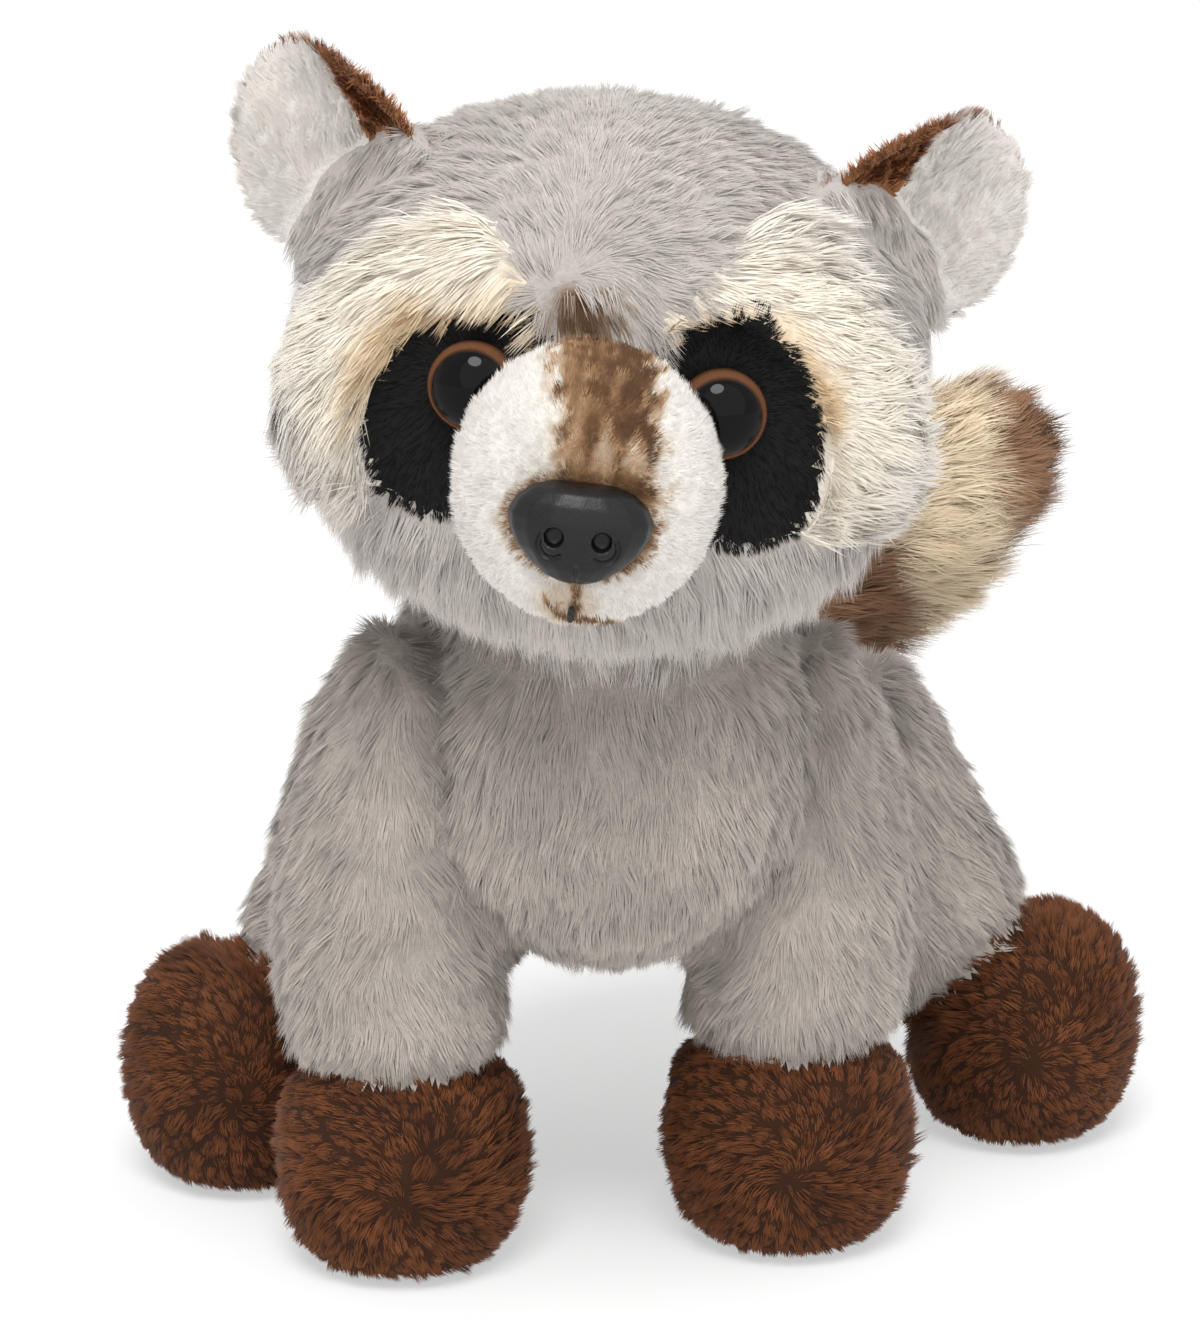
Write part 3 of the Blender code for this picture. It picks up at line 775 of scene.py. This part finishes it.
def head_paint(face):
    """Grey, with the airbrushed smudge over the bridge."""

    def paint(places):
        side, back, up = face.seen(places)
        spots = mottle(places, 3 * MM, 5)
        off = np.hypot(side - BRIDGE_SIDE, (up - SMUDGE_RISE) * 1.4)
        smudge = smoothstep(5.4, 1.0, off + spots * 1.4) * smoothstep(60, 45, back)
        light = 1 + 0.05 * mottle(places, 14 * MM, 6)
        return dyed_with(HEAD_GREY, AIRBRUSH_DARK, smudge * 0.9) * light[:, None]

    return paint


def body_paint(places):
    light = 1 + 0.07 * mottle(places, 16 * MM, 8) + 0.06 * mottle(places, 5 * MM, 9)
    return BODY_GREY * light[:, None]


def foot_paint(places):
    light = 1 + 0.18 * mottle(places, 6 * MM, 10)
    return BROWN * light[:, None]


def brow_paint(face, label, low_grey):
    def paint(places):
        from_eye = np.linalg.norm(places - face.eyes[label], axis=1) / MM
        spots = mottle(places, 3 * MM, 11)
        tan = smoothstep(16.5, 11.5, from_eye + spots * 1.0)
        pale = smoothstep(17, 27, from_eye + spots * 2)
        above = along(places - face.eyes[label], face.up) / MM
        low = smoothstep(-3, -15, above + spots * 2) * low_grey
        return blend(blend(blend(CREAM, TAN, tan), PALE_CREAM, pale), HEAD_GREY, low)

    return paint


def tail_paint(places):
    """A cream band between a brown root and a brown tip, streaked along the strands."""
    spots = mottle(places, 7 * MM, 12) * 1.5 + mottle(places, 1.6 * MM, 14) * 1.2
    out, high = places[:, 0] / MM + spots, places[:, 2] / MM + spots
    tip = smoothstep(-2.5, 2.5, out - TAIL_TIP_BROWN / MM)
    root_out, root_high = TAIL_ROOT_BROWN
    root = smoothstep(2.5, -2.5, out - root_out / MM) * smoothstep(4, -4, high - root_high / MM)
    return blend(TAIL_CREAM, TAIL_BROWN, np.maximum(tip, root) * 0.92)


def plain_paint(colour):
    def paint(places):
        light = 1 + 0.06 * mottle(places, 6 * MM, 13)
        return colour * light[:, None]

    return paint


def head_growth(places, normals):
    """Longer under the chin and jaw, shorter on the forehead."""
    return 1 + 0.8 * smoothstep(0.0, -0.6, normals[:, 2]) - 0.15 * smoothstep(0.2, 0.9, normals[:, 2])


# Pieces
def dress(skin, plan, looks, others, rng):
    """The backing and the strands of each node of a skin."""
    for node_name, way in plan.items():
        pile = way.pile
        points, faces = skin.patch(node_name)
        backing = mesh_of(way.label + "_backing", points, faces, looks["backing"])
        # painted shade: the backing takes the pile's colour darkened as at the strands' roots
        coloured(backing, pile.paint(points) * pile.fade[0])
        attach(backing, "root")
        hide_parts(node_name)
        places, normals = place_roots(skin, node_name, pile, rng)
        free = ~touching(places, normals, others, JOIN_NEAR)
        points, faces, colours, shading = grow(places[free], normals[free], pile, rng)
        look = looks["dark" if way.slot in DARK_SLOTS else "fur"]
        coat = mesh_of(way.label + "_pile", points, faces, look)
        coloured(coat, colours)
        coat.data.normals_split_custom_set_from_vertices(shading)
        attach(coat, "root")


def tree_of_skins(skins):
    points, faces, first = [], [], 0
    for skin in skins:
        points.append(skin.points)
        faces.append(skin.faces + first)
        first += len(skin.points)
    return BVHTree.FromPolygons(np.concatenate(points).tolist(), np.concatenate(faces).tolist())


def dome_mesh(name, size, height, rounds=16, sides=64):
    """A closed half ellipsoid on the ground, with its top at that height."""
    bm = bmesh.new()
    top = bm.verts.new((0, 0, height))
    rings = []
    for step in range(1, rounds + 1):
        angle = pi / 2 * step / rounds
        out, high = sin(angle) * size, cos(angle) * height
        turns = [2 * pi * turn / sides for turn in range(sides)]
        rings.append([bm.verts.new((out * cos(turn), out * sin(turn), high)) for turn in turns])
    for turn in range(sides):
        beside = (turn + 1) % sides
        bm.faces.new((top, rings[0][turn], rings[0][beside]))
        for inner, outer in zip(rings, rings[1:]):
            bm.faces.new((inner[turn], outer[turn], outer[beside], inner[beside]))
    bm.faces.new(list(reversed(rings[-1])))
    mesh = bpy.data.meshes.new(name)
    bm.to_mesh(mesh)
    bm.free()
    mesh.shade_smooth()
    return mesh


def make_eye(frame, label, look):
    """A clear dome over a printed iris, on the axis that the eye and its washer share."""
    washer, dome = (points_of(frame, name + label) for name in ("eye_washer_", "eye_"))
    washer = washer.mean(axis=0)
    axis = unit(dome.mean(axis=0) - washer)
    away = dome - washer
    depth = along(away, axis)
    radius = np.linalg.norm(away - depth[:, None] * axis, axis=1)
    rim = depth[radius > radius.max() * 0.98].min()
    mesh = dome_mesh("glossy_eye_" + label, radius.max(), depth.max() - rim)
    mesh.materials.append(look)
    made = bpy.data.objects.new("glossy_eye_" + label, mesh)
    bpy.context.scene.collection.objects.link(made)
    turn = Vector((0, 0, 1)).rotation_difference(Vector(axis)).to_matrix().to_4x4()
    made.matrix_world = Matrix.Translation(washer + axis * rim) @ turn
    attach(made, "root")
    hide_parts("eye_" + label)


def points_of(frame, node_name):
    return np.array([vert.co for vert in frame["nodes"][node_name].data.vertices])


def eye_material():
    """A printed brown iris with a dark rim and pupil under a polished dome."""
    made, tree, shader = new_material("eye_gloss", 0.04, 0.14)
    spot = node(tree, "ShaderNodeTexCoord")
    flat = node(tree, "ShaderNodeVectorMath", operation="MULTIPLY")
    flat.inputs[1].default_value = (1, 1, 0)
    link(tree, spot.outputs["Object"], flat.inputs[0])
    radius = node(tree, "ShaderNodeVectorMath", operation="LENGTH")
    link(tree, flat.outputs["Vector"], radius.inputs[0])
    share = node(tree, "ShaderNodeMath", operation="DIVIDE")
    share.inputs[1].default_value = EYE_RADIUS
    link(tree, radius.outputs["Value"], share.inputs[0])
    black, brown, rim = linear(7, 6, 6), linear(120, 80, 56), linear(62, 40, 28)
    stops = [(0.0, black), (0.79, black), (0.83, rim), (0.88, brown), (0.95, brown), (1.0, rim)]
    rings = shaded(tree, share.outputs["Value"], stops)
    spots = noise(tree, 0.5 * MM).outputs["Color"]
    link(tree, multiplied(tree, rings, spots, 0.35), shader.inputs["Base Color"])
    return made


def nose_material():
    """Satin moulded plastic with a fine grain."""
    made, tree, shader = new_material("nose_satin", 0.34, 0.3)
    spots = noise(tree, 0.35 * MM, 4.0).outputs["Fac"]
    shade = shaded(tree, spots, [(0.3, linear(10, 10, 12)), (0.7, linear(20, 21, 23))])
    link(tree, shade, shader.inputs["Base Color"])
    uneven_gloss(tree, shader, spots, 0.28, 0.42)
    uneven_height(tree, shader, spots, 0.5, 0.1 * MM)
    return made


def make_nose(frame, face, look):
    """The nose with its facets rounded off, a slit below and a comma beside each nostril."""
    mesh = frame["nodes"]["nose"].data.copy()
    made = bpy.data.objects.new("satin_nose", mesh)
    bpy.context.scene.collection.objects.link(made)
    remesh = made.modifiers.new("Remesh", "REMESH")
    remesh.mode = "VOXEL"
    remesh.voxel_size = 0.25 * MM
    soften = made.modifiers.new("Soften", "SMOOTH")
    soften.factor = 0.5
    soften.iterations = 10
    shown = made.evaluated_get(bpy.context.evaluated_depsgraph_get())
    rounded = bpy.data.meshes.new_from_object(shown)
    made.modifiers.clear()
    made.data = rounded
    points = np.array([vert.co for vert in rounded.vertices])
    side, back, up = face.seen(points)
    cut = smoothstep(0.55, 0.1, np.abs(side)) * smoothstep(-3.0, -4.0, up) * SLIT_DEPTH
    for _, turn in SIDES:
        off, high = side - turn * NOSTRIL_SIDE, up + NOSTRIL_DROP
        around = smoothstep(0.55, 0.1, np.abs(np.hypot(off, high) - COMMA_ROUND))
        cut = np.maximum(cut, around * smoothstep(-0.4, 0.3, off * turn - high) * COMMA_DEPTH)
    cut *= smoothstep(1.0, -1.0, back)
    points += np.outer(cut * MM, face.back)
    rounded.vertices.foreach_set("co", points.astype(np.float32).ravel())
    rounded.shade_smooth()
    give(made, look)
    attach(made, "root")
    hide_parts("nose")


def make_stitch(frame):
    """The black thread under the nose, with a twisted surface."""
    made, tree, shader = new_material("stitch_thread", 0.75)
    wave = node(tree, "ShaderNodeTexWave", Scale=900.0, Distortion=1.0)
    wave.bands_direction = "DIAGONAL"
    link(tree, node(tree, "ShaderNodeTexCoord").outputs["Object"], wave.inputs["Vector"])
    twist = wave.outputs["Fac"]
    shade = shaded(tree, twist, [(0.2, linear(14, 12, 12)), (0.8, linear(44, 36, 32))])
    link(tree, shade, shader.inputs["Base Color"])
    uneven_height(tree, shader, twist, 0.8, 0.15 * MM)
    give(frame["nodes"]["mouth_stitch"], made)


def inside_materials(frame):
    """Fibre and washers, which only show when the toy is opened."""
    fibre, tree, shader = new_material("loose_fibre", 0.95, 0.1)
    spots = noise(tree, 1.5 * MM, 6.0, 0.75).outputs["Fac"]
    shade = shaded(tree, spots, [(0.3, linear(205, 205, 203)), (0.7, linear(248, 248, 246))])
    link(tree, shade, shader.inputs["Base Color"])
    plastic, tree, shader = new_material("washer_moulded", 0.5)
    spots = noise(tree, 0.6 * MM).outputs["Fac"]
    shade = shaded(tree, spots, [(0.3, linear(218, 218, 214)), (0.7, linear(236, 236, 232))])
    link(tree, shade, shader.inputs["Base Color"])
    for name, piece in frame["nodes"].items():
        if name.endswith("filling"):
            give(piece, fibre)
        elif "washer" in name:
            give(piece, plastic)


# Studio
def make_floor():
    """A white floor that keeps the toy's shadow."""
    bpy.ops.mesh.primitive_plane_add(size=FLOOR_SIZE)
    floor = bpy.context.active_object
    floor.name = "studio_floor"
    made, tree, shader = new_material("studio_white", 0.9, 0.0)
    shader.inputs["Base Color"].default_value = (0.96, 0.96, 0.96, 1)
    glow = node(tree, "ShaderNodeMath", operation="MULTIPLY")
    glow.inputs[1].default_value = FLOOR_GLOW
    link(tree, node(tree, "ShaderNodeLightPath").outputs["Is Camera Ray"], glow.inputs[0])
    both = node(tree, "ShaderNodeMixShader")
    link(tree, glow.outputs["Value"], both.inputs[0])
    link(tree, shader.outputs["BSDF"], both.inputs[1])
    link(tree, node(tree, "ShaderNodeEmission").outputs["Emission"], both.inputs[2])
    link(tree, both.outputs["Shader"], tree.nodes["Material Output"].inputs["Surface"])
    floor.data.materials.append(made)


def make_sky():
    """Soft light from all round, stronger from above, and plain white behind the toy and in its gloss."""
    world = bpy.data.worlds.new("studio")
    bpy.context.scene.world = world
    world.use_nodes = True
    tree = world.node_tree
    sky = tree.nodes["Background"]
    sky.inputs["Color"].default_value = (1, 1, 1, 1)
    height = node(tree, "ShaderNodeSeparateXYZ")
    link(tree, node(tree, "ShaderNodeTexCoord").outputs["Generated"], height.inputs[0])
    light = node(tree, "ShaderNodeMapRange")
    light.inputs["To Min"].default_value = HORIZON_LIGHT
    light.inputs["To Max"].default_value = ZENITH_LIGHT
    link(tree, height.outputs["Z"], light.inputs["Value"])
    strength = node(tree, "ShaderNodeMapRange")
    strength.inputs["To Max"].default_value = 1
    path = node(tree, "ShaderNodeLightPath")
    seen = node(tree, "ShaderNodeMath", operation="MAXIMUM")
    link(tree, path.outputs["Is Camera Ray"], seen.inputs[0])
    link(tree, path.outputs["Is Glossy Ray"], seen.inputs[1])
    link(tree, seen.outputs["Value"], strength.inputs["Value"])
    link(tree, light.outputs["Result"], strength.inputs["To Min"])
    link(tree, strength.outputs["Result"], sky.inputs["Strength"])


def make_lamps():
    for name, power, tilt, turn, spread in LAMPS:
        lamp = bpy.data.lights.new(name, "SUN")
        lamp.energy = power
        lamp.angle = radians(spread)
        light = bpy.data.objects.new(name, lamp)
        light.rotation_euler = (radians(tilt), 0, radians(turn))
        bpy.context.scene.collection.objects.link(light)


def make_camera():
    lens = bpy.data.cameras.new("camera")
    lens.lens = CAMERA_LENS
    lens.sensor_fit = "VERTICAL"
    lens.sensor_height = SENSOR
    lens.sensor_width = SENSOR
    lens.clip_start = 0.01
    camera = bpy.data.objects.new("camera", lens)
    rise = radians(CAMERA_ELEVATION)
    back = Vector((0, -cos(rise), sin(rise)))
    camera.location = Vector(CAMERA_TARGET) + back * CAMERA_DISTANCE
    camera.rotation_euler = back.to_track_quat("Z", "Y").to_euler()
    bpy.context.scene.collection.objects.link(camera)
    bpy.context.scene.camera = camera


# What each cloth looks like
def body_coat():
    return Pile(
        length=5.2,
        width=0.20,
        dense=8.5,
        lift=0.24,
        lock=1.9,
        gather=0.36,
        stray=0.07,
        bent=False,
        comb=body_comb,
        paint=body_paint,
        fade=(0.76, 0.97, 1.07),
    )


def body_plan():
    """The trunk, and each leg with its foot."""
    coat = body_coat()
    shoe = coat._replace(
        length=4.0,
        width=0.24,
        dense=8.0,
        lift=0.36,
        lock=1.7,
        gather=0.45,
        stray=0.09,
        paint=foot_paint,
        # strong painted shade at the roots and painted light at the tips of the feet's pile
        fade=(0.28, 0.84, 1.6),
        glint=0.5,
        tone=0.10,
    )
    plan = {"body_cover": Dress("body", "grey_plush", 1.8, 0.8, coat)}
    for leg, foot in zip(LEGS, FEET):
        neat = ankle_growth(foot)
        sleeve = coat._replace(length=4.8, comb=leg_comb(leg), grow=neat)
        plan[leg] = Dress(leg.replace("_cover", ""), "grey_plush", 1.2, 0.7, sleeve)
        sole = shoe._replace(comb=foot_comb(foot), grow=neat)
        plan[foot] = Dress(foot.replace("_cover", ""), "brown_plush", 1.4, 0.9, sole)
    return plan


def head_plan(face):
    """The head, the muzzle, and each mask with its brow."""
    hair = body_coat()._replace(
        length=4.8,
        dense=9.5,
        lift=0.26,
        comb=head_comb(face),
        paint=head_paint(face),
        grow=head_growth,
        fade=(0.80, 0.98, 1.06),
    )
    snout = Pile(
        length=1.5,
        width=0.20,
        dense=22,
        lift=0.42,
        lock=0.9,
        gather=0.15,
        stray=0.10,
        bent=False,
        comb=away_from(face.nose),
        paint=muzzle_paint(face),
        fade=(0.95, 0.99, 1.01),
    )
    plan = {
        "head_cover": Dress("head", "grey_plush", 1.6, 0.9, hair),
        "muzzle_cover": Dress("muzzle", "white_plush", 0.6, 0.9, snout),
    }
    for label, side in SIDES:
        mask, brow = "mask_" + label, "brow_" + label
        plan[mask] = Dress(mask, "black_plush", 1.0, 0, mask_pile(face, label))
        plan[brow] = Dress(brow, "cream_plush", 2.0, 0, brow_pile(face, label, side))
    return plan


def mask_pile(face, label):
    return Pile(
        length=2.0,
        width=0.26,
        dense=14,
        lift=0.45,
        lock=1.2,
        gather=0.3,
        stray=0.14,
        bent=False,
        comb=away_from(face.eyes[label]),
        paint=plain_paint(MASK_BLACK),
        fade=(0.4, 0.9, 1.5),
    )


def brow_pile(face, label, side):
    way = BROW_WAYS[label]
    return Pile(
        length=8.2,
        width=0.22,
        dense=17,
        lift=0.18,
        lock=2.2,
        gather=0.10,
        stray=0.05,
        bent=True,
        comb=brow_comb(face, label, side, way.droop),
        paint=brow_paint(face, label, way.low_grey),
        fade=(0.97, 1.0, 1.02),
        grow=brow_growth(face, label, way.shortest),
        glint=0.05,
        tone=0.015,
        hang=way.hang,
    )


def tail_plan():
    low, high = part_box("tail_cover")
    root = np.array((low.x, (low.y + high.y) / 2, low.z))
    fluff = Pile(
        length=10.0,
        width=0.18,
        dense=10.0,
        lift=0.34,
        lock=2.4,
        gather=0.24,
        stray=0.10,
        bent=True,
        comb=away_from(root),
        paint=tail_paint,
        fade=(0.86, 0.98, 1.04),
    )
    return {"tail_cover": Dress("tail", "cream_plush", 5.0, 0.6, fluff)}


def ear_plan(label):
    """The pale front of one ear and its brown back."""
    front, back = "ear_front_" + label, "ear_back_" + label
    pale = Pile(
        length=2.6,
        width=0.19,
        dense=20,
        lift=0.22,
        lock=1.4,
        gather=0.20,
        stray=0.08,
        bent=False,
        comb=away_from(middle_of(front) - np.array((0, 0, EAR_ROOT_DROP))),
        paint=plain_paint(EAR_PALE),
        fade=(0.93, 0.99, 1.02),
        glint=0.08,
        tone=0.02,
    )
    brown = pale._replace(
        length=2.8,
        width=0.24,
        dense=14,
        lift=0.45,
        paint=plain_paint(EAR_BROWN),
        fade=(0.6, 0.95, 1.3),
    )
    return {
        front: Dress(front, "pale_plush", 1.2, 0, pale),
        back: Dress(back, "brown_plush", 1.2, 0, brown),
    }


def main():
    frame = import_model()
    rng = np.random.default_rng(SEED)
    face = Face()
    looks = {
        "fur": fur_material("pile_strands"),
        "dark": fur_material("dark_pile_strands", 0.66, 0.06, 0.12),
        "backing": backing_material("pile_backing"),
    }

    head_nodes = ["head_cover", "muzzle_cover", *PANELS]
    body = Skin(frame, ["body_cover", *LEGS, *FEET], ["body_filling"], 1.4 * MM, 2)
    head = Skin(frame, head_nodes, ["head_filling"], 1.5 * MM, 4, brow_wrap(face))
    tail = Skin(frame, ["tail_cover"], ["tail_filling"], 2.0 * MM, 5)
    plans = {body: body_plan(), head: head_plan(face), tail: tail_plan()}
    for label, side in SIDES:
        cloths = ["ear_front_" + label, "ear_back_" + label]
        plans[Skin(frame, cloths, [], 0.9 * MM, 5, rim_wrap(label, side))] = ear_plan(label)

    pinches = {body: BODY_PINCH * MM, head: HEAD_PINCH * MM}
    for skin, plan in plans.items():
        beside = tree_of_nodes(frame, [name for other in plans if other is not skin for name in other.nodes])
        skin.sink({name: way.depth * MM for name, way in plan.items()}, beside[0], pinches.get(skin, 0))
    for skin, plan in plans.items():
        others = tree_of_skins([other for other in plans if other is not skin])
        dress(skin, plan, looks, others, rng)

    gloss = eye_material()
    for label, _ in SIDES:
        make_eye(frame, label, gloss)
    make_nose(frame, face, nose_material())
    make_stitch(frame)
    inside_materials(frame)
    bpy.context.scene.view_settings.view_transform = "Standard"
    make_floor()
    make_sky()
    make_lamps()
    make_camera()


main()
